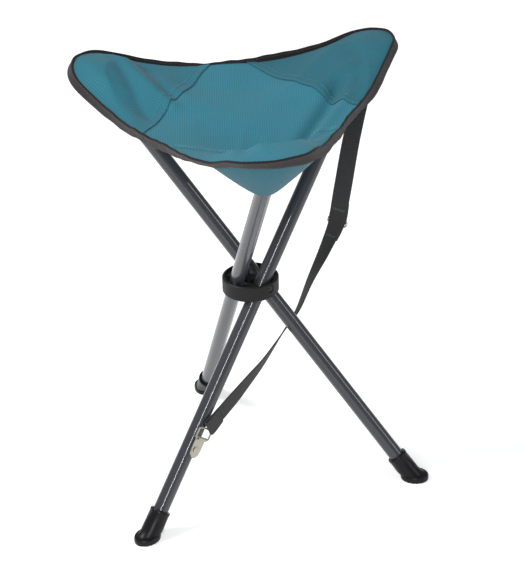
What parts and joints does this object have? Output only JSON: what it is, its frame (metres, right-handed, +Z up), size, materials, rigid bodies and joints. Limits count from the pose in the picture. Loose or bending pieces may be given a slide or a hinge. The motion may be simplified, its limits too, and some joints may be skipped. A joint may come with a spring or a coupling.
{
  "type": "three leg stool",
  "caption": "Folding three-leg camping stool: steel tubes crossing in a moulded hub, a triangular cloth sling seat, rubber feet and a webbing carrying strap.",
  "frame": {"origin": "on the floor, on the hub's vertical axis", "axes": "+Z up; one seat corner points along -Y, the other two lie towards +X +Y and -X +Y"},
  "size_m": [0.3525, 0.3807, 0.4535],
  "materials": {
    "hub_plastic": "moulded black nylon, fine texture",
    "screw_steel": "black-zinc pan-head screw",
    "tube_coat": "slate grey coated steel tube, semi-gloss",
    "plug_plastic": "moulded black",
    "boot_rubber": "matt black rubber",
    "seat_cloth": "teal ripstop polyester",
    "binding_tape": "dark grey-brown woven tape",
    "strap_webbing": "near-black webbing",
    "clip_nickel": "nickel plated sheet and wire"
  },
  "bodies": {
    "hub": {"hub_body": "hub_plastic", "pivot_screw_a": "screw_steel", "pivot_screw_b": "screw_steel", "pivot_screw_c": "screw_steel", "seat_centre_panel": "seat_cloth", "edge_binding": "binding_tape"},
    "leg_a": {"leg_tube_a": "tube_coat", "top_plug_a": "plug_plastic", "foot_boot_a": "boot_rubber", "seat_corner_panel_a": "seat_cloth", "corner_pocket_a": "seat_cloth"},
    "leg_b": {"leg_tube_b": "tube_coat", "top_plug_b": "plug_plastic", "foot_boot_b": "boot_rubber", "seat_corner_panel_b": "seat_cloth", "corner_pocket_b": "seat_cloth", "clip_plate": "clip_nickel", "clip_rivet": "clip_nickel", "clip_ring": "clip_nickel", "strap_upper": "strap_webbing", "strap_link": "clip_nickel", "strap_lower": "strap_webbing"},
    "leg_c": {"leg_tube_c": "tube_coat", "top_plug_c": "plug_plastic", "foot_boot_c": "boot_rubber", "seat_corner_panel_c": "seat_cloth", "corner_pocket_c": "seat_cloth"}
  },
  "joints": [
    {"name": "leg_a_fold", "type": "hinge", "parent": "hub", "child": "leg_a", "pos_m": [0.00622, 0.01354, 0.2301], "axis": [0.4173, 0.9088, 0], "range_deg": [0, 37], "deforming": ["seat_centre_panel", "edge_binding", "seat_corner_panel_a", "seat_corner_panel_b", "seat_corner_panel_c", "corner_pocket_a", "corner_pocket_b", "corner_pocket_c", "strap_upper", "strap_link", "strap_lower"]},
    {"name": "leg_b_fold", "type": "hinge", "parent": "hub", "child": "leg_b", "pos_m": [0.00862, -0.01215, 0.2301], "axis": [0.5783, -0.8158, 0], "range_deg": [0, 37], "deforming": ["seat_centre_panel", "edge_binding", "seat_corner_panel_a", "seat_corner_panel_b", "seat_corner_panel_c", "corner_pocket_a", "corner_pocket_b", "corner_pocket_c", "strap_upper", "strap_link", "strap_lower"]},
    {"name": "leg_c_fold", "type": "hinge", "parent": "hub", "child": "leg_c", "pos_m": [-0.01483, -0.00138, 0.2301], "axis": [-0.9957, -0.093, 0], "range_deg": [0, 37], "deforming": ["seat_centre_panel", "edge_binding", "seat_corner_panel_a", "seat_corner_panel_b", "seat_corner_panel_c", "corner_pocket_a", "corner_pocket_b", "corner_pocket_c", "strap_upper", "strap_link", "strap_lower"]}
  ],
  "couplings": [
    {"joint": "leg_b_fold", "follows": "leg_a_fold", "ratio": 1},
    {"joint": "leg_c_fold", "follows": "leg_a_fold", "ratio": 1}
  ]
}
